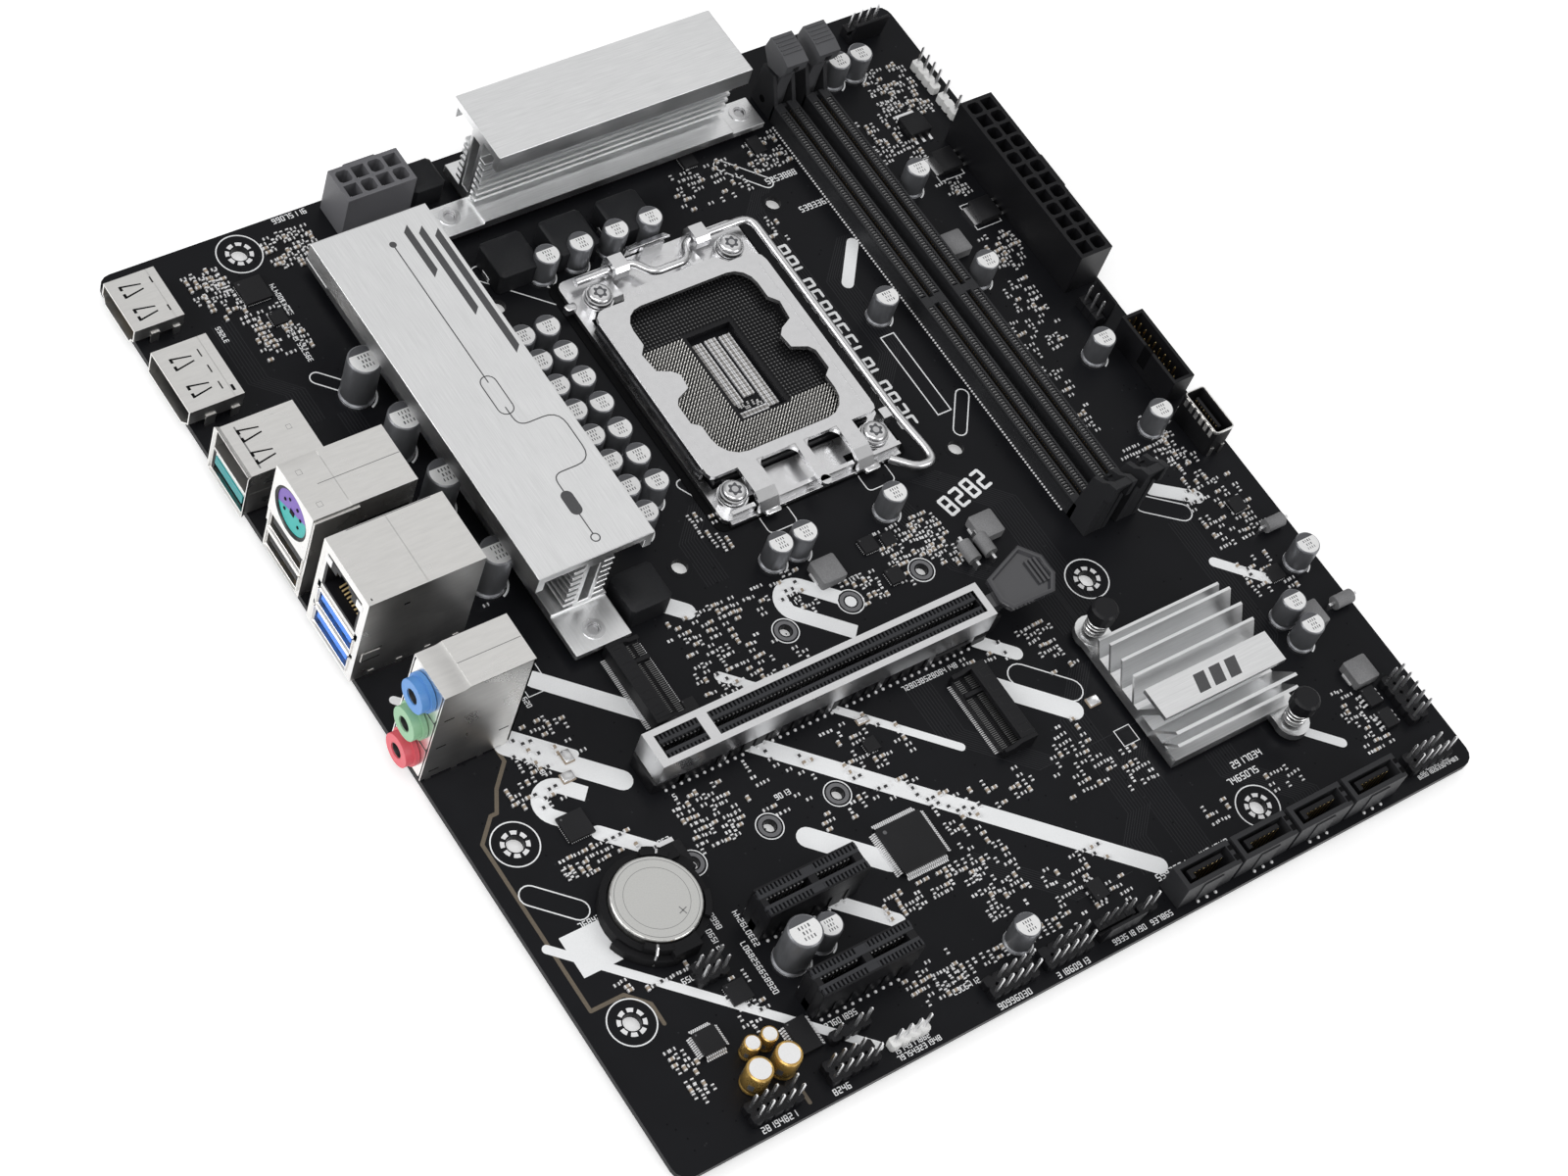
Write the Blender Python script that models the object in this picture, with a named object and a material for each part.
"""A micro-ATX desktop motherboard, modelled piece by piece.

Lengths below are in millimetres and become metres, through MM, as each mesh is made.
Board coordinates: X from the rear connector edge, Y from the expansion-slot edge, Z up from
the board's top face. The world origin is below the board's centre, in the plane of the plated
rings that its standoffs meet.
"""

import math

import bmesh
import bpy
from mathutils import Vector

MM = 0.001
SEAT = 0.1  # flat gap under a piece that stands on the board
GAP = 0.3  # gap between neighbouring pieces

# ---------------------------------------------------------------- driving sizes
BOARD_X, BOARD_Y, BOARD_T = 221.0, 243.84, 1.6
BOARD_CORNER = 3.6
PAD_T = 0.05  # the plated rings stand this far proud of each face
DATUM_R = 3.0  # plated disc at the middle of the underside
MOUNT_HOLES = [(33.02, 237.49), (10.16, 80.01), (10.16, 34.29), (165.1, 80.01), (165.1, 13.97)]
MOUNT_HOLE_R, MOUNT_PAD_R = 2.0, 3.3

SOCKET_X, SOCKET_Y = 118.9, 162.25  # centre of the processor socket
COOLER_PITCH = 78.0
COOLER_HOLE_R, COOLER_PAD_R = 1.95, 3.0
COOLER_HOLES = [
    (SOCKET_X + sx * COOLER_PITCH / 2, SOCKET_Y + sy * COOLER_PITCH / 2)
    for sx in (-1, 1)
    for sy in (-1, 1)
]

M2_HOLES = [(41.6, 59.4), (61.6, 59.4), (79.6, 59.4), (92.4, 98.8), (110.4, 98.8), (130.4, 98.8)]
M2_HOLE_R, M2_PAD_R = 1.4, 3.0

FRAME_SCREWS = [(99.1, 132.3), (138.7, 132.3), (100.4, 191.5), (137.4, 191.5)]
FRAME_SCREW_R, FRAME_HEAD_R = 1.5, 3.3
FRAME_HOLE_R = FRAME_SCREW_R + 0.4

LEVER_AXIS = (120.0, 197.2, 4.6)  # the load lever's shaft runs along X here
LEVER_R = 1.0
PLATE_AXIS = (118.9, 128.1, 4.0)  # the load plate's hinge runs along X here
PLATE_LOW, PLATE_TOP = 5.3, 6.5
HINGE_ARMS = [(102.9, 108.3), (130.6, 135.0)]

LEFT_SINK_X, LEFT_SINK_TOP = 52.2, 23.6
LEFT_SINK_FINS, LEFT_SINK_BASE = (122.3, 219.0), (111.5, 228.3)
TOP_SINK_Y, TOP_SINK_TOP = 230.2, 26.8
TOP_SINK_FINS, TOP_SINK_BASE = (87.3, 157.8), (76.6, 167.2)
SINK_SCREWS = [(51.4, 115.9), (51.4, 223.8), (80.8, 225.6), (162.9, 225.6)]
SINK_SCREW_R, SINK_HOLE_R = 1.2, 1.6

CHIP_SINK_X, CHIP_SINK_Y = (151.6, 187.3), (30.4, 62.0)
CHIP_SINK_LOW, CHIP_SINK_FLOOR, CHIP_SINK_TOP = 1.5, 4.6, 11.6
PUSH_PINS = [(155.4, 66.8), (184.4, 27.1)]
PUSH_PIN_R, EAR_R, EAR_TOP = 1.3, 4.2, 3.4
PIN_CAP_R, PIN_CAP_LOW, PIN_CAP_TOP, BARB_R = 3.3, 9.6, 13.3, 2.0
SPRING_R, SPRING_WIRE, SPRING_TURNS = 2.4, 0.3, 4

DIMM_X, DIMM_WIDTH = (171.3, 180.9), 6.4
DIMM_RAILS = (95.9, 223.3)
DIMM_RAIL_TOP = 5.3
DIMM_KEY_Y = 158.3
DIMM_LATCH_AXIS_Y, DIMM_LATCH_AXIS_Z = 227.6, 3.4

X16_X, X16_Y, X16_WIDTH, X16_TOP = (43.4, 132.1), 81.6, 8.0, 10.8
X16_KEY = (56.3, 58.2)
X16_LATCH_AXIS = (134.6, 82.4, 3.2)
X1_X, X1_ROWS, X1_WIDTH, X1_TOP = (44.1, 69.8), (41.0, 20.65), 7.0, 11.2

BATTERY = (27.8, 54.1)
CELL_R, CELL_LOW, CELL_TOP = 10.0, 2.0, 5.2

SATA_X, SATA_PITCH, SATA_COUNT = 131.8, 16.5, 4

PIN_PITCH, PIN_SIDE = 2.54, 0.64

CAN_R, CAN_TOP = 3.1, 8.6
OUTPUT_CANS = [(76.3, 187.1 - 7.45 * row) for row in range(8)] + [
    (83.0, 187.2 - 7.7 * row) for row in range(7)
]
INPUT_CANS = [(93.8, 204.6), (103.0, 204.6), (112.8, 204.6), (122.3, 204.6)]
CHOKES = [(86.9, 209.2), (103.0, 209.2), (118.8, 209.2)]
CHOKE_X, CHOKE_Y, CHOKE_TOP = 11.2, 10.8, 7.0


# ---------------------------------------------------------------- outlines
def circle(cx, cy, radius, count, start=0.0):
    turn = 2 * math.pi / count
    return [
        (cx + radius * math.cos(start + turn * i), cy + radius * math.sin(start + turn * i))
        for i in range(count)
    ]


def arc(cx, cy, radius, from_deg, to_deg, steps):
    points = []
    for i in range(steps + 1):
        angle = math.radians(from_deg + (to_deg - from_deg) * i / steps)
        points.append((cx + radius * math.cos(angle), cy + radius * math.sin(angle)))
    return points


def rectangle(x0, y0, x1, y1):
    return [(x0, y0), (x1, y0), (x1, y1), (x0, y1)]


def rounded(x0, y0, x1, y1, radius, steps=3):
    return (
        arc(x1 - radius, y0 + radius, radius, -90, 0, steps)
        + arc(x1 - radius, y1 - radius, radius, 0, 90, steps)
        + arc(x0 + radius, y1 - radius, radius, 90, 180, steps)
        + arc(x0 + radius, y0 + radius, radius, 180, 270, steps)
    )


def mirrored(points, centre):
    """The points, then their mirror images about u = centre, in the reverse order."""
    return points + [(2 * centre - u, v) for u, v in reversed(points)]


# ---------------------------------------------------------------- mesh building blocks
PLACE = {
    "X": lambda u, v, w: Vector((w, u, v)),
    "Y": lambda u, v, w: Vector((u, w, v)),
    "Z": lambda u, v, w: Vector((u, v, w)),
}


def add_loop(bm, outline, axis, level):
    verts = [bm.verts.new(PLACE[axis](u, v, level)) for u, v in outline]
    return [bm.edges.new(pair) for pair in zip(verts, verts[1:] + verts[:1])]


def extrude(bm, faces, axis, distance):
    grown = bmesh.ops.extrude_face_region(bm, geom=faces)["geom"]
    moved = [item for item in grown if isinstance(item, bmesh.types.BMVert)]
    bmesh.ops.translate(bm, verts=moved, vec=PLACE[axis](0, 0, distance))


def add_prism(bm, outline, axis, low, high, holes=()):
    """An outline, less any hole loops, extruded along an axis."""
    if not holes:
        verts = [bm.verts.new(PLACE[axis](u, v, low)) for u, v in outline]
        extrude(bm, [bm.faces.new(verts)], axis, high - low)
        return
    edges = []
    for loop in [outline, *holes]:
        edges += add_loop(bm, loop, axis, low)
    filled = bmesh.ops.triangle_fill(bm, edges=edges, use_beauty=True, use_dissolve=False)
    faces = [item for item in filled["geom"] if isinstance(item, bmesh.types.BMFace)]
    bmesh.ops.recalc_face_normals(bm, faces=faces)
    extrude(bm, faces, axis, high - low)


def add_box(bm, low, high):
    add_prism(bm, rectangle(low[0], low[1], high[0], high[1]), "Z", low[2], high[2])


def add_disc(bm, centre, radius, low, high, count=16):
    add_prism(bm, circle(centre[0], centre[1], radius, count), "Z", low, high)


def add_lathe(bm, profile, centre, count):
    """A solid of revolution about the vertical through centre, from (radius, z) points that start
    and end on the axis."""
    rings = []
    for radius, z in profile:
        if radius == 0:
            rings.append([bm.verts.new((centre[0], centre[1], z))])
        else:
            ring = circle(centre[0], centre[1], radius, count)
            rings.append([bm.verts.new((x, y, z)) for x, y in ring])
    for below, above in zip(rings, rings[1:]):
        for i in range(count):
            j = (i + 1) % count
            corners = [below[i % len(below)], below[j % len(below)]]
            corners += [above[j % len(above)], above[i % len(above)]]
            bm.faces.new(list(dict.fromkeys(corners)))


def add_tube(bm, path, radius, sides):
    """A round wire along a path, with flat ends. Its section turns as little as it can."""
    points = [Vector(p) for p in path]
    across = Vector((0, 0, 1))
    rings = []
    for i, point in enumerate(points):
        ahead = points[min(i + 1, len(points) - 1)] - points[max(i - 1, 0)]
        ahead.normalize()
        across = (across - ahead * across.dot(ahead)).normalized()
        side = ahead.cross(across)
        ring = []
        for x, y in circle(0, 0, radius, sides):
            ring.append(bm.verts.new(point + across * x + side * y))
        rings.append(ring)
    for below, above in zip(rings, rings[1:]):
        for i in range(sides):
            j = (i + 1) % sides
            bm.faces.new((below[i], below[j], above[j], above[i]))
    bm.faces.new(rings[0])
    bm.faces.new(rings[-1])


# ---------------------------------------------------------------- objects
def clear_scene():
    for obj in list(bpy.data.objects):
        bpy.data.objects.remove(obj, do_unlink=True)


def material(name, colour, roughness, metallic=0.0, alpha=1.0):
    found = bpy.data.materials.get(name)
    if found:
        return found
    made = bpy.data.materials.new(name)
    made.use_nodes = True
    made.diffuse_color = (*colour, 1.0)
    shader = made.node_tree.nodes["Principled BSDF"]
    shader.inputs["Base Color"].default_value = (*colour, 1.0)
    shader.inputs["Roughness"].default_value = roughness
    shader.inputs["Metallic"].default_value = metallic
    shader.inputs["Alpha"].default_value = alpha
    return made


def shapes(*builders):
    """One bmesh filled by each builder in turn."""
    bm = bmesh.new()
    for builder in builders:
        builder(bm)
    return bm


def mesh_object(name, bm, pivot):
    bmesh.ops.recalc_face_normals(bm, faces=bm.faces)
    bmesh.ops.translate(bm, verts=bm.verts, vec=-Vector(pivot))
    bmesh.ops.scale(bm, verts=bm.verts, vec=(MM, MM, MM))
    mesh = bpy.data.meshes.new(name)
    bm.to_mesh(mesh)
    bm.free()
    mesh.shade_smooth()
    mesh.set_sharp_from_angle(angle=math.radians(35))
    obj = bpy.data.objects.new(name, mesh)
    bpy.context.collection.objects.link(obj)
    obj.parent = bpy.data.objects["board_frame"]
    obj.location = Vector(pivot) * MM
    return obj


def node(name, finish, bm, pivot=(0, 0, 0), join=(), cut=(), inner=()):
    """One named piece: bm with each bmesh in join, less each in cut, then with each in inner."""
    obj = mesh_object(name, bm, pivot)
    obj.data.materials.append(finish)
    steps = [("UNION", helper) for helper in join]
    steps += [("DIFFERENCE", helper) for helper in cut]
    steps += [("UNION", helper) for helper in inner]
    for number, (operation, helper_bm) in enumerate(steps, 1):
        helper = mesh_object(f"{name}_helper_{number}", helper_bm, pivot)
        helper.hide_render = True
        helper.display_type = "WIRE"
        modifier = obj.modifiers.new(helper.name, "BOOLEAN")
        modifier.operation = operation
        modifier.object = helper
        modifier.solver = "EXACT"


def box(low, high):
    return shapes(lambda bm: add_box(bm, low, high))


def boxes(*pairs):
    return shapes(*[lambda bm, low=low, high=high: add_box(bm, low, high) for low, high in pairs])


def prism(outline, axis, low, high, holes=()):
    return shapes(lambda bm: add_prism(bm, outline, axis, low, high, holes))


def discs(places, radius, low, high, count=16):
    return shapes(*[lambda bm, at=at: add_disc(bm, at, radius, low, high, count) for at in places])


def lathe(profile, centre, count=16):
    return shapes(lambda bm: add_lathe(bm, profile, centre, count))


# ---------------------------------------------------------------- board
def drilled(places, radius, count):
    return discs(places, radius, -BOARD_T - 1, 1, count)


def build_board():
    mask = material("black_solder_mask", (0.028, 0.028, 0.031), 0.45)
    below, above = -BOARD_T - PAD_T, PAD_T
    pads = [
        discs(MOUNT_HOLES, MOUNT_PAD_R, below, above, 20),
        discs(COOLER_HOLES, COOLER_PAD_R, -BOARD_T / 2, above, 16),
        discs(M2_HOLES, M2_PAD_R, -BOARD_T / 2, above, 12),
        discs([(BOARD_X / 2, BOARD_Y / 2)], DATUM_R, below, -BOARD_T / 2, 20),
    ]
    holes = [
        drilled(MOUNT_HOLES, MOUNT_HOLE_R, 20),
        drilled(COOLER_HOLES, COOLER_HOLE_R, 16),
        drilled(M2_HOLES, M2_HOLE_R, 12),
        drilled(FRAME_SCREWS, FRAME_HOLE_R, 12),
        drilled(PUSH_PINS, PUSH_PIN_R + GAP, 12),
        drilled(SINK_SCREWS, SINK_HOLE_R, 12),
    ]
    outline = rounded(0, 0, BOARD_X, BOARD_Y, BOARD_CORNER, 4)
    node("circuit_board", mask, prism(outline, "Z", -BOARD_T, 0), join=pads, cut=holes)


# ---------------------------------------------------------------- processor socket
def build_socket():
    plastic = material("black_plastic", (0.022, 0.022, 0.024), 0.55)
    steel = material("plated_steel", (0.72, 0.72, 0.73), 0.28, 1.0)
    node(
        "cpu_socket",
        plastic,
        box((97.4, 137.0, SEAT), (140.4, 187.5, 3.9)),
        cut=[
            box((98.9, 138.6, 2.4), (138.9, 186.0, 6.0)),
            box((114.3, 149.7, -1.0), (126.5, 174.4, 3.0)),
        ],
    )
    build_retention_frame(steel)
    build_load_plate(steel)
    build_load_lever(steel)
    for number, (x, y) in enumerate(FRAME_SCREWS, 1):
        profile = [(0, -2.6), (FRAME_SCREW_R, -2.6), (FRAME_SCREW_R, 4.4), (FRAME_HEAD_R, 4.4)]
        profile += [(FRAME_HEAD_R, 5.9), (FRAME_HEAD_R - 0.7, 6.6), (0, 6.6)]
        star = circle(x, y, 1.5, 6)
        drive = prism(star, "Z", 5.3, 8)
        node(f"frame_screw_{number}", steel, lathe(profile, (x, y), 20), cut=[drive])
    backplate = rounded(92.5, 127.2, 145.5, 197.2, 6)
    holes = [circle(x, y, FRAME_HOLE_R, 12) for x, y in FRAME_SCREWS]
    holes.append(circle(SOCKET_X, SOCKET_Y, 13, 20))
    node("socket_backplate", steel, prism(backplate, "Z", -BOARD_T - 2.5, -BOARD_T - GAP, holes))


def build_retention_frame(steel):
    floor, top = 0.5, 1.9
    outline = rounded(94.6, 127.6, 144.6, 200.2, 2)
    window = rectangle(96.9, 136.5, 140.9, 188.0)
    plate = prism(outline, "Z", floor, top, [window])
    seats = discs(FRAME_SCREWS, 3.7, floor + 0.2, 4.1, 20)
    front_wall = ((96.2, 127.6, floor + 0.2), (143.4, 128.6, 4.4))
    lip = ((117.5, 199.0, floor + 0.2), (123.5, 200.1, 5.2))
    side_lug = ((143.2, 134.6, floor + 0.2), (145.5, 137.4, 5.4))
    shaft_y, shaft_z = LEVER_AXIS[1], LEVER_AXIS[2]
    hook = [(0.0, 0.7 - shaft_z), (2.9, 0.7 - shaft_z), (2.9, 0.6), (2.0, 2.5), (-1.8, 2.5)]
    hook += [(-2.7, 1.5), (-2.7, -0.6), (-1.45, -0.6), (-1.45, 0.9), (-0.9, 1.35), (0.9, 1.35)]
    hook += [(1.6, 0.6), (1.6, -1.6), (0.0, -1.9)]
    hook = [(shaft_y + v, shaft_z + w) for v, w in hook]
    hooks = shapes(
        lambda bm: add_prism(bm, hook, "X", 106.9, 110.8),
        lambda bm: add_prism(bm, hook, "X", 129.7, 133.6),
    )
    slots = boxes(*[((lo - 0.5, 125.0, -1), (hi + 0.5, 131.6, 9)) for lo, hi in HINGE_ARMS])
    node(
        "retention_frame",
        steel,
        plate,
        join=[seats, boxes(front_wall, lip, side_lug), hooks],
        cut=[slots, discs(FRAME_SCREWS, FRAME_HOLE_R, -1, 9, 12)],
    )


def build_load_plate(steel):
    left, right, low, high = 95.4, 142.4, 137.0, 187.0
    outline = arc(right - 1.5, low + 1.5, 1.5, -90, 0, 2)
    outline += arc(right - 3, high - 3, 3, 0, 90, 3)
    outline += [(133.6, high), (131.2, 189.4), (106.6, 189.4), (104.2, high)]
    outline += arc(left + 3, high - 3, 3, 90, 180, 3)
    outline += arc(left + 1.5, low + 1.5, 1.5, 180, 270, 2)
    # The window's right side, from its lower end up: a bulge, a finger tab and a bulge.
    side = [(136.6, 150.0), (138.5, 151.6), (138.5, 157.0), (137.4, 158.6), (133.6, 160.2)]
    side += [(133.2, 164.0), (134.6, 165.6), (137.9, 167.2), (138.5, 172.4), (136.6, 174.6)]
    lower = arc(130.2, 146.2, 6.4, -90, 0, 4)
    upper = arc(131.2, 179.0, 5.4, 0, 90, 4)
    window = mirrored(lower + side + upper, 119.1)
    arm = [(138, PLATE_LOW), (138, PLATE_TOP), (129.8, PLATE_TOP), (127.4, 5.4), (126.0, 3.2)]
    arm += [(126.0, 2.3), (126.9, 2.3), (128.4, 4.4), (130.2, PLATE_LOW)]
    arms = shapes(*[lambda bm, s=s: add_prism(bm, arm, "X", s[0], s[1]) for s in HINGE_ARMS])
    tongue = ((118.8, 125.7, PLATE_LOW), (121.4, 139.0, PLATE_TOP))
    flanges = boxes(
        ((left - 0.2, 140.0, 3.4), (left + 1.0, 184.0, PLATE_TOP - 0.2)),
        ((right - 1.0, 140.0, 3.4), (right + 0.2, 184.0, PLATE_TOP - 0.2)),
    )
    plate = prism(outline, "Z", PLATE_LOW, PLATE_TOP, [window])
    node(
        "load_plate", steel, plate, PLATE_AXIS, join=[arms, box(tongue[0], tongue[1]), flanges]
    )


def build_load_lever(steel):
    shaft_y, shaft_z = LEVER_AXIS[1], LEVER_AXIS[2]
    path = [(97.6, shaft_y, shaft_z), (112.6, shaft_y, shaft_z)]
    path += [(113.6, shaft_y - 0.7, shaft_z + 0.2), (115.8, 192.9, 5.3), (117.4, 191.8, 5.6)]
    path += [(123.6, 191.8, 5.6), (125.2, 192.9, 5.3), (127.4, shaft_y - 0.7, shaft_z + 0.2)]
    path += [(128.4, shaft_y, shaft_z)]
    path += [(x, y, shaft_z) for x, y in arc(143.0, shaft_y - 4, 4.0, 90, 0, 4)]
    path += [(147.1, 134.5, shaft_z), (148.2, 126.0, 4.2)]
    path += [(x, y, 4.0) for x, y in arc(144.7, 124.2, 3.6, 0, -140, 7)]
    path += [(138.6, 125.4, 4.0)]
    node(
        "load_lever", steel, shapes(lambda bm: add_tube(bm, path, LEVER_R, 8)), LEVER_AXIS
    )


# ---------------------------------------------------------------- voltage-regulator heatsinks
def sink_profile(web, top, plate, base, reach):
    """A T section: a foot, a hollow web with short fins down both sides, and a lipped cap.
    plate, base and reach are (low, high) distances from the web's centre."""
    wall, hollow = 2.4, 1.3
    fin, pitch, count = 0.9, 2.1, 7
    foot_low, foot_top, cap = 2.4, 4.8, top - 2.2
    points = [(base[1], foot_low), (base[1], foot_top), (wall, foot_top)]
    levels = [foot_top + 1.4 + pitch * i for i in range(count)]
    for z in levels:
        points += [(wall, z), (reach[1], z), (reach[1], z + fin), (wall, z + fin)]
    points += [(wall, cap), (plate[1] - 2.0, cap), (plate[1] - 2.0, cap - 3.0)]
    points += [(plate[1], cap - 3.0), (plate[1], top), (plate[0], top), (plate[0], cap - 3.0)]
    points += [(plate[0] + 2.0, cap - 3.0), (plate[0] + 2.0, cap), (-wall, cap)]
    for z in reversed(levels):
        points += [(-wall, z + fin), (reach[0], z + fin), (reach[0], z), (-wall, z)]
    points += [(-wall, foot_top), (base[0], foot_top), (base[0], foot_low)]
    slot = rectangle(-hollow, foot_top + 1.2, hollow, cap - 1.6)
    return [(web + u, z) for u, z in points], [(web + u, z) for u, z in slot]


def build_regulator_sinks():
    aluminium = material("brushed_aluminium", (0.78, 0.78, 0.79), 0.35, 1.0)
    steel = material("plated_steel", (0.72, 0.72, 0.73), 0.28, 1.0)
    tab_low, tab_top = 2.4, 4.0
    outline, slot = sink_profile(LEFT_SINK_X, LEFT_SINK_TOP, (-15.0, 14.5), (-7.9, 6.5), (-5.2, 5.2))
    foot = ((44.3, LEFT_SINK_BASE[0], tab_low), (58.7, LEFT_SINK_BASE[1], tab_top))
    node(
        "vrm_heatsink_left",
        aluminium,
        prism(outline, "Y", *LEFT_SINK_FINS, [slot]),
        join=[box(*foot)],
        cut=[discs(SINK_SCREWS[:2], SINK_HOLE_R, 0, 9, 12)],
    )
    outline, slot = sink_profile(TOP_SINK_Y, TOP_SINK_TOP, (-8.9, 10.8), (-9.7, 8.6), (-4.6, 4.2))
    foot = ((TOP_SINK_BASE[0], 220.5, tab_low), (TOP_SINK_BASE[1], 229.1, tab_top))
    node(
        "vrm_heatsink_top",
        aluminium,
        prism(outline, "X", *TOP_SINK_FINS, [slot]),
        join=[box(*foot)],
        cut=[discs(SINK_SCREWS[2:], SINK_HOLE_R, 0, 9, 12)],
    )
    under = -BOARD_T - SEAT
    for number, centre in enumerate(SINK_SCREWS, 1):
        profile = [(0, under - 1.6), (2.0, under - 1.6), (2.6, under - 1.0), (2.6, under)]
        profile += [(SINK_SCREW_R, under), (SINK_SCREW_R, 3.6), (0, 3.6)]
        node(f"heatsink_screw_{number}", steel, lathe(profile, centre, 12))


# ---------------------------------------------------------------- chipset and its heatsink
def leaning_fin(root_y, tip_y, tip_z, thick):
    foot_z = CHIP_SINK_FLOOR - 0.4
    return [(root_y, foot_z), (root_y + thick, foot_z), (tip_y + thick, tip_z), (tip_y, tip_z)]


def build_chipset():
    aluminium = material("brushed_aluminium", (0.78, 0.78, 0.79), 0.35, 1.0)
    package = material("chip_green", (0.05, 0.11, 0.08), 0.5)
    node("chipset_package", package, box((156.0, 33.0, SEAT), (183.0, 59.0, 1.2)))
    x0, x1 = CHIP_SINK_X
    y0, y1 = CHIP_SINK_Y
    fins = [leaning_fin(59.4, 61.9, 8.8, 0.7)]
    fins += [leaning_fin(y, y + 3.6, 11.3, 0.7) for y in (55.2, 50.7, 46.2)]
    fins += [leaning_fin(38.6, 33.4, 11.4, 0.8), leaning_fin(35.0, 31.4, 9.0, 0.8)]
    top = CHIP_SINK_TOP
    plateau = [(43.6, CHIP_SINK_FLOOR - 0.4), (45.2, CHIP_SINK_FLOOR - 0.4), (41.5, top - 1.2)]
    plateau += [(46.1, top - 1.2), (46.1, top), (37.9, top), (37.9, top - 1.2), (39.6, top - 1.2)]
    base = rectangle(y0, CHIP_SINK_LOW, y1, CHIP_SINK_FLOOR)
    ridges = [
        shapes(lambda bm, fin=fin: add_prism(bm, fin, "X", x0, x1)) for fin in [plateau, *fins]
    ]
    (ax, ay), (bx, by) = PUSH_PINS
    necks = boxes(
        ((x0, y1 - 1, CHIP_SINK_LOW), (ax + EAR_R - 0.2, ay, EAR_TOP)),
        ((bx - EAR_R + 0.2, by, CHIP_SINK_LOW), (x1, y0 + 1, EAR_TOP)),
    )
    ears = discs(PUSH_PINS, EAR_R, CHIP_SINK_LOW, EAR_TOP + 0.1, 20)
    node(
        "chipset_heatsink",
        aluminium,
        prism(base, "X", x0, x1),
        join=[necks, ears, *ridges],
        cut=[discs(PUSH_PINS, PUSH_PIN_R + GAP, 0, 9, 12)],
    )
    plastic = material("black_plastic", (0.022, 0.022, 0.024), 0.55)
    spring_steel = material("spring_steel", (0.62, 0.62, 0.63), 0.3, 1.0)
    for number, centre in enumerate(PUSH_PINS, 1):
        # The barb under the board is wider than its hole, and springs back out once through it.
        profile = [(0, -4.8), (0.7, -4.8), (BARB_R, -2.3), (BARB_R, -BOARD_T - GAP)]
        profile += [(PUSH_PIN_R - 0.1, -BOARD_T - GAP), (PUSH_PIN_R - 0.1, PIN_CAP_LOW)]
        profile += [(PIN_CAP_R, PIN_CAP_LOW), (PIN_CAP_R, PIN_CAP_TOP - 0.5)]
        profile += [(PIN_CAP_R - 0.6, PIN_CAP_TOP), (0, PIN_CAP_TOP)]
        pivot = (centre[0], centre[1], PIN_CAP_LOW)
        node(f"push_pin_{number}", plastic, lathe(profile, centre, 16), pivot)
        low, high = EAR_TOP + 0.75, PIN_CAP_LOW - 0.65
        steps = 10 * SPRING_TURNS
        coil = []
        for i in range(steps + 1):
            angle = 2 * math.pi * i / 10
            x = centre[0] + SPRING_R * math.cos(angle)
            y = centre[1] + SPRING_R * math.sin(angle)
            coil.append((x, y, low + (high - low) * i / steps))
        wire = shapes(lambda bm, coil=coil: add_tube(bm, coil, SPRING_WIRE, 4))
        node(f"pin_spring_{number}", spring_steel, wire, (centre[0], centre[1], low))


# ---------------------------------------------------------------- memory slots
def build_memory_slots():
    dark = material("dark_grey_plastic", (0.05, 0.05, 0.055), 0.5)
    latch_grey = material("latch_grey_plastic", (0.075, 0.075, 0.08), 0.5)
    y0, y1 = DIMM_RAILS
    tower = [(96.6, 2.0), (95.0, 17.4), (92.4, 18.6), (90.6, 20.6), (88.2, 21.4), (88.4, 15.6)]
    tower += [(89.6, 15.2), (89.8, SEAT), (96.6, SEAT)]
    cheeks = [(222.8, 2.0), (222.8, 5.4), (224.2, 8.0), (226.6, 12.6), (230.9, 12.6), (231.2, SEAT)]
    cheeks += [(222.8, SEAT)]
    for number, x0 in enumerate(DIMM_X, 1):
        x1, middle = x0 + DIMM_WIDTH, x0 + DIMM_WIDTH / 2
        rails = box((x0, y0 - 0.6, SEAT), (x1, y1, DIMM_RAIL_TOP))
        ends = shapes(
            lambda bm, a=x0, b=x1: add_prism(bm, tower, "X", a, b),
            lambda bm, a=x0, b=x1: add_prism(bm, cheeks, "X", a, b),
        )
        groove = boxes(
            ((middle - 0.75, y0 - 2.6, 1.6), (middle + 0.75, DIMM_KEY_Y - 1.1, 30)),
            ((middle - 0.75, DIMM_KEY_Y + 1.1, 1.6), (middle + 0.75, y1 + 1.0, 30)),
        )
        pocket = box((x0 + 1.1, y1 + 0.4, 1.2), (x1 - 1.1, 240, 30))
        head_pocket = box((x0 + 1.1, 90.0, 16.2), (x1 - 1.1, 94.0, 30))
        node(f"dimm_slot_{number}", dark, rails, join=[ends], cut=[groove, pocket, head_pocket])
        build_memory_latch(number, latch_grey, x0, x1)


def build_memory_latch(number, finish, x0, x1):
    """The ejector latch: a narrow blade between the cheeks, with a full-width ribbed head."""
    blade = [(225.4, 2.2), (228.6, 2.2), (229.8, 4.0), (230.2, 14.0), (228.2, 18.2), (225.0, 18.2)]
    blade += [(225.6, 8.0)]
    head = [(224.6, 14.2), (229.4, 13.4), (232.4, 17.2), (231.6, 21.2)]
    head += [(226.4, 20.6), (223.2, 19.4), (223.4, 16.6)]
    notch = [(222.0, 15.0), (225.2, 15.0), (225.2, 18.0), (222.0, 18.0)]
    middle = (x0 + x1) / 2
    node(
        f"dimm_latch_{number}",
        finish,
        prism(blade, "X", x0 + 1.4, x1 - 1.4),
        (middle, DIMM_LATCH_AXIS_Y, DIMM_LATCH_AXIS_Z),
        join=[prism(head, "X", x0 + 0.1, x1 - 0.1)],
        cut=[prism(notch, "X", middle - 0.9, middle + 0.9)],
    )


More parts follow.
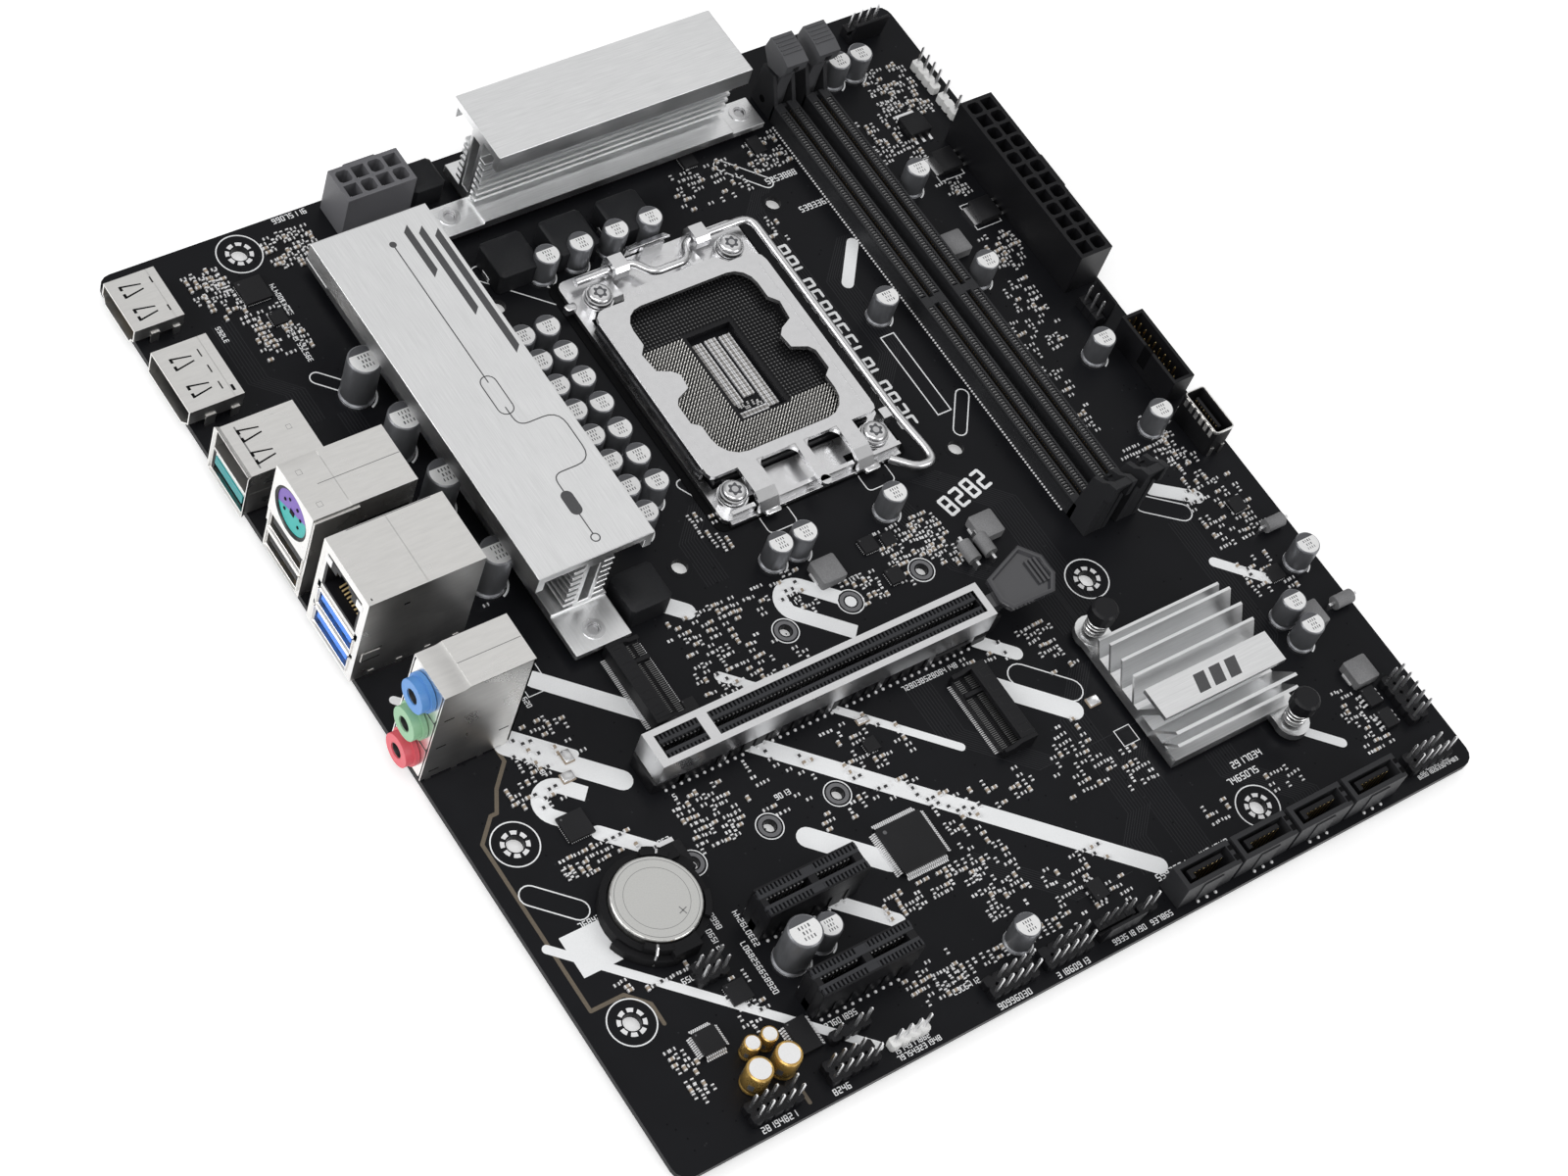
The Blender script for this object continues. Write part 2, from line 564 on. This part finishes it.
# ---------------------------------------------------------------- expansion slots
def build_expansion_slots():
    plastic = material("black_plastic", (0.022, 0.022, 0.024), 0.55)
    steel = material("plated_steel", (0.72, 0.72, 0.73), 0.28, 1.0)
    smoke = material("smoke_plastic", (0.06, 0.06, 0.065), 0.35)
    x0, x1 = X16_X
    half = X16_WIDTH / 2
    y0, y1 = X16_Y - half, X16_Y + half
    arms = boxes(
        ((x1 - 1, y0 + 0.5, SEAT), (136.4, y0 + 1.9, 6.4)),
        ((x1 - 1, y1 - 1.9, SEAT), (136.4, y1 - 0.5, 6.4)),
    )
    toe = box((x0 - 0.9, y0 - 0.5, SEAT), (x0 + 14, y1 + 0.5, 4.0))
    skirt = box((x1 - 14, y0 - 0.5, SEAT), (x1 + 0.9, y1 + 0.5, 2.6))
    groove = boxes(
        ((x0 + 2.2, X16_Y - 0.95, 3.0), (X16_KEY[0], X16_Y + 0.95, 20)),
        ((X16_KEY[1], X16_Y - 0.95, 3.0), (x1 - 1.6, X16_Y + 0.95, 20)),
    )
    node(
        "pcie_x16_slot",
        plastic,
        box((x0, y0, SEAT), (x1, y1, X16_TOP)),
        join=[toe, skirt, arms],
        cut=[groove],
    )
    wall = 0.35
    shell = box((x0 - 0.5, y0 - 0.5, 4.3), (x1 + 0.5, y1 + 0.5, X16_TOP + 0.5))
    inside = box((x0 - 0.5 + wall, y0 - 0.5 + wall, 2), (x1 + 0.5 - wall, y1 + 0.5 - wall, 10.9))
    reach = 2.95  # half the width of the opening in the shield's top
    mouths = boxes(
        ((x0 + 1.6, X16_Y - reach, 5), (X16_KEY[0] - 0.4, X16_Y + reach, 20)),
        ((X16_KEY[1] + 0.4, X16_Y - reach, 5), (x1 - 1.2, X16_Y + reach, 20)),
    )
    arm_room = box((x1 - 0.5, y0 + 0.2, 2.0), (x1 + 2.0, y1 - 0.2, 6.7))
    node("pcie_x16_shield", steel, shell, cut=[inside, mouths, arm_room])
    build_slot_latch(smoke)
    for number, row in enumerate(X1_ROWS, 1):
        a, b = X1_X
        body = box((a, row - X1_WIDTH / 2, SEAT), (b, row + X1_WIDTH / 2, X1_TOP))
        slots = boxes(
            ((a - 1, row - 0.95, 3.0), (X16_KEY[0], row + 0.95, 20)),
            ((X16_KEY[1], row - 0.95, 3.0), (b - 2, row + 0.95, 20)),
        )
        node(f"pcie_x1_slot_{number}", plastic, body, cut=[slots])


def build_slot_latch(finish):
    """The card release: a stem hinged between the slot's arms, with a flared paddle on top."""
    pivot_x, pivot_y, pivot_z = X16_LATCH_AXIS
    stem_low, stem_high = X16_Y - 1.7, X16_Y + 1.7
    stem = [(133.9, 2.0), (135.6, 2.0), (138.2, 6.8), (150.4, 8.2), (150.4, 10.4), (138.0, 10.4)]
    stem += [(134.0, 8.4)]
    paddle = [(136.4, 86.0), (148.6, 90.6), (152.4, 86.0), (152.4, 80.8), (149.4, 76.8)]
    paddle += [(137.4, 77.2), (135.8, 80.0)]
    node(
        "pcie_x16_latch",
        finish,
        prism(stem, "Y", stem_low, stem_high),
        (pivot_x, pivot_y, pivot_z),
        join=[prism(paddle, "Z", 8.7, 10.1)],
    )


def build_m2_sockets():
    plastic = material("black_plastic", (0.022, 0.022, 0.024), 0.55)
    body = [(0.0, SEAT), (8.6, SEAT), (8.6, 4.2), (4.6, 4.2), (4.6, 2.9), (1.2, 2.9), (1.2, 1.6)]
    body += [(0.0, 1.6)]
    mouth = [(-1.0, 1.7), (5.4, 1.7), (5.4, 2.6), (-1.0, 2.6)]
    # Socket 1 opens towards +X, socket 2 towards -X.
    for number, (face_x, way, y0, y1) in enumerate([(59.9, -1, 89.6, 111.2), (118.4, 1, 50.0, 71.6)], 1):
        outline = [(face_x + way * u, z) for u, z in body]
        card = [(face_x + way * u, z) for u, z in mouth]
        card_slot = prism(card, "Y", y0 + 1.0, y1 - 1.0)
        node(f"m2_socket_{number}", plastic, prism(outline, "Y", y0, y1), cut=[card_slot])


# ---------------------------------------------------------------- power connectors
def build_power_connector(name, finish, x0, y0, nx, ny, top, ledge):
    """A vertical shrouded connector with nx by ny square cells. ledge is the latch ramp's box."""
    pitch, rim = 4.2, 0.9
    width, depth = (nx - 1) * pitch + 5.4, (ny - 1) * pitch + 5.4
    cells = []
    for i in range(nx):
        for j in range(ny):
            cx, cy = x0 + 2.7 + pitch * i, y0 + 2.7 + pitch * j
            half = (pitch - rim) / 2
            cells.append(rectangle(cx - half, cy - half, cx + half, cy + half))
    outline = rectangle(x0, y0, x0 + width, y0 + depth)
    shroud = prism(outline, "Z", 3.0, top, cells)
    floor = box((x0, y0, SEAT), (x0 + width, y0 + depth, 3.2))
    node(name, finish, floor, join=[shroud, box(*ledge)])


def build_power_connectors():
    black = material("black_plastic", (0.022, 0.022, 0.024), 0.55)
    grey = material("grey_plastic", (0.16, 0.16, 0.165), 0.5)
    ledge = ((219.2, 170.0, 7.0), (221.4, 181.0, 12.4))
    build_power_connector("atx_power_24pin", black, 210.1, 149.3, 2, 12, 13.6, ledge)
    ledge = ((61.0, 241.6, 7.0), (70.0, 243.4, 12.2))
    build_power_connector("cpu_power_8pin", grey, 56.5, 232.4, 4, 2, 13.3, ledge)


# ---------------------------------------------------------------- battery
def build_battery():
    plastic = material("black_plastic", (0.022, 0.022, 0.024), 0.55)
    nickel = material("cell_nickel", (0.75, 0.75, 0.74), 0.3, 1.0)
    ring = circle(*BATTERY, CELL_R + 1.9, 36)
    well = circle(*BATTERY, CELL_R + GAP, 36)
    clip_posts = boxes(
        ((31.5, 60.6, SEAT), (38.0, 64.0, 4.6)),
        ((24.4, 41.2, SEAT), (31.2, 44.8, 4.6)),
    )
    node(
        "battery_holder",
        plastic,
        prism(ring, "Z", SEAT, 3.4),
        join=[clip_posts],
        cut=[prism(well, "Z", CELL_LOW - 0.3, 9)],
    )
    profile = [(0, CELL_LOW), (8.6, CELL_LOW), (9.0, CELL_LOW + 0.5), (CELL_R, CELL_LOW + 0.6)]
    profile += [(CELL_R, CELL_TOP - 0.3), (CELL_R - 0.3, CELL_TOP), (0, CELL_TOP)]
    node(
        "coin_cell", nickel, lathe(profile, BATTERY, 36), (BATTERY[0], BATTERY[1], CELL_LOW)
    )


# ---------------------------------------------------------------- rear connectors
def build_rear_connectors():
    shell = material("nickel_shell", (0.76, 0.75, 0.73), 0.3, 1.0)
    front, mouth = -1.3, -3.0
    # Each row: the name, the shell's corners, the sockets cut into it and the tongues inside.
    rows = [
        (
            "hdmi_port",
            ((front, 223.9, SEAT), (11.0, 238.3, 5.8)),
            [((mouth, 224.6, 0.9), (8.0, 237.6, 5.1))],
            [((0.2, 226.6, 2.6), (8.5, 235.6, 3.6))],
        ),
        (
            "displayport",
            ((front, 199.3, SEAT), (12.2, 216.9, 6.9)),
            [((mouth, 200.1, 1.1), (9.0, 216.1, 6.0))],
            [((0.2, 202.0, 3.0), (9.5, 214.2, 4.2))],
        ),
        (
            "usb_a_port",
            ((front, 174.9, SEAT), (17.0, 189.0, 14.8)),
            [((mouth, 175.7, 1.2), (12.0, 188.2, 14.0))],
            [((-0.4, 176.8, 4.0), (12.5, 187.1, 5.9)), ((8.0, 175.5, 9.0), (12.5, 188.4, 14.2))],
        ),
        (
            "ps2_usb_stack",
            ((front, 151.8, SEAT), (23.9, 167.1, 30.0)),
            [
                ((mouth, 153.0, 2.0), (9.0, 165.9, 6.9)),
                ((mouth, 153.0, 8.8), (9.0, 165.9, 13.7)),
            ],
            [((-0.4, 153.7, 4.7), (9.5, 165.2, 6.2)), ((-0.4, 153.7, 11.5), (9.5, 165.2, 13.0))],
        ),
        (
            "lan_usb_stack",
            ((front, 128.9, SEAT), (27.0, 147.2, 29.8)),
            [
                ((mouth, 131.4, 2.0), (9.0, 144.7, 6.9)),
                ((mouth, 131.4, 8.8), (9.0, 144.7, 13.7)),
                ((mouth, 131.9, 16.4), (13.0, 144.2, 26.6)),
            ],
            [((-0.4, 132.2, 4.7), (9.5, 143.9, 6.2)), ((-0.4, 132.2, 11.5), (9.5, 143.9, 13.0))],
        ),
    ]
    for name, corners, sockets, tongues in rows:
        node(name, shell, box(*corners), cut=[boxes(*sockets)], inner=[boxes(*tongues)])


def build_audio_stack():
    shell = material("nickel_shell", (0.76, 0.75, 0.73), 0.3, 1.0)
    y0, y1, top = 101.5, 113.4, 34.2
    middle = (y0 + y1) / 2
    levels = [6.4, 17.2, 28.0]
    jacks = shapes(
        *[lambda bm, z=z: add_prism(bm, circle(middle, z, 3.9, 16), "X", -3.6, 2.0) for z in levels]
    )
    bores = shapes(
        *[lambda bm, z=z: add_prism(bm, circle(middle, z, 1.85, 12), "X", -6, 10.0) for z in levels]
    )
    body = box((-0.4, y0, SEAT), (21.4, y1, top))
    node("audio_jack_stack", shell, body, join=[jacks], cut=[bores])


# ---------------------------------------------------------------- storage and front-panel headers
def build_sata_ports():
    plastic = material("black_plastic", (0.022, 0.022, 0.024), 0.55)
    for number in range(SATA_COUNT):
        x0 = SATA_X + SATA_PITCH * number
        mouth = box((x0 + 1.2, 3.2, 2.0), (x0 + 14.2, 7.1, 12))
        tongue = [(2.6, 4.0), (3.7, 4.0), (3.7, 5.2), (12.4, 5.2), (12.4, 6.3), (2.6, 6.3)]
        tongue = prism([(x0 + x, y) for x, y in tongue], "Z", 1.6, 8.2)
        body = box((x0, 2.0, SEAT), (x0 + 15.4, 8.3, 8.6))
        node(f"sata_port_{number + 1}", plastic, body, cut=[mouth], inner=[tongue])


def header_pins(x0, y0, nx, ny, missing, low, high):
    """Square pins on a grid, less the (column, row) places in missing."""
    half = PIN_SIDE / 2
    pairs = []
    for i in range(nx):
        for j in range(ny):
            if (i, j) not in missing:
                x, y = x0 + PIN_PITCH * i, y0 + PIN_PITCH * j
                pairs.append(((x - half, y - half, low), (x + half, y + half, high)))
    return boxes(*pairs)


def build_pin_header(name, finish, x0, y0, nx, ny, missing=(), top=8.4):
    edge = PIN_PITCH / 2 - 0.05
    low = (x0 - edge, y0 - edge, SEAT)
    high = (x0 + PIN_PITCH * (nx - 1) + edge, y0 + PIN_PITCH * (ny - 1) + edge, 2.5)
    node(name, finish, box(low, high), join=[header_pins(x0, y0, nx, ny, missing, 2.0, top)])


def build_headers():
    plastic = material("black_plastic", (0.022, 0.022, 0.024), 0.55)
    steel = material("plated_steel", (0.72, 0.72, 0.73), 0.28, 1.0)
    build_pin_header("front_audio_header", plastic, 20.55, 4.0, 5, 2, {(3, 1)})
    build_pin_header("usb2_header", plastic, 97.2, 4.0, 5, 2, {(0, 1)})
    build_pin_header("front_panel_header", plastic, 204.2, 4.6, 5, 2, {(4, 1)})
    build_pin_header("cpu_fan_header", plastic, 205.6, 238.6, 4, 1)
    node(
        "usb3_header",
        plastic,
        box((212.6, 112.0, SEAT), (219.0, 133.4, 8.8)),
        cut=[box((213.5, 113.0, 1.8), (218.1, 132.4, 12))],
    )
    node(
        "usb_c_header",
        steel,
        box((212.8, 95.6, SEAT), (218.6, 108.4, 9.4)),
        cut=[box((213.7, 96.6, 3.0), (217.7, 107.4, 12))],
    )


# ---------------------------------------------------------------- chips, chokes and capacitors
def build_board_parts():
    plastic = material("black_plastic", (0.022, 0.022, 0.024), 0.55)
    ferrite = material("choke_ferrite", (0.03, 0.03, 0.032), 0.6)
    can = material("capacitor_can", (0.55, 0.55, 0.57), 0.35, 1.0)
    node("io_controller_chip", plastic, box((80.0, 35.0, 0.2), (94.0, 49.0, 1.7)))
    node("audio_codec_chip", plastic, box((18.2, 19.8, 0.2), (25.2, 26.8, 1.6)))
    for number, (x, y) in enumerate(CHOKES, 1):
        outline = rounded(x, y, x + CHOKE_X, y + CHOKE_Y, 1.2, 2)
        node(f"phase_choke_{number}", ferrite, prism(outline, "Z", SEAT, CHOKE_TOP))
    # The cans of one bank stand on the copper area that joins them.
    output_copper = box((75.4, 132.6, SEAT), (84.0, 189.0, SEAT + 0.1))
    node(
        "output_capacitors", can, output_copper, join=[discs(OUTPUT_CANS, CAN_R, SEAT, CAN_TOP, 12)]
    )
    input_copper = box((92.6, 203.6, SEAT), (123.6, 205.6, SEAT + 0.1))
    node(
        "input_capacitors", can, input_copper, join=[discs(INPUT_CANS, CAN_R, SEAT, CAN_TOP, 12)]
    )


# ---------------------------------------------------------------- assembly
def main():
    clear_scene()
    frame = bpy.data.objects.new("board_frame", None)
    bpy.context.collection.objects.link(frame)
    frame.location = (-BOARD_X / 2 * MM, -BOARD_Y / 2 * MM, (BOARD_T + PAD_T) * MM)
    build_board()
    build_socket()
    build_regulator_sinks()
    build_chipset()
    build_memory_slots()
    build_expansion_slots()
    build_m2_sockets()
    build_power_connectors()
    build_battery()
    build_rear_connectors()
    build_audio_stack()
    build_sata_ports()
    build_headers()
    build_board_parts()


main()
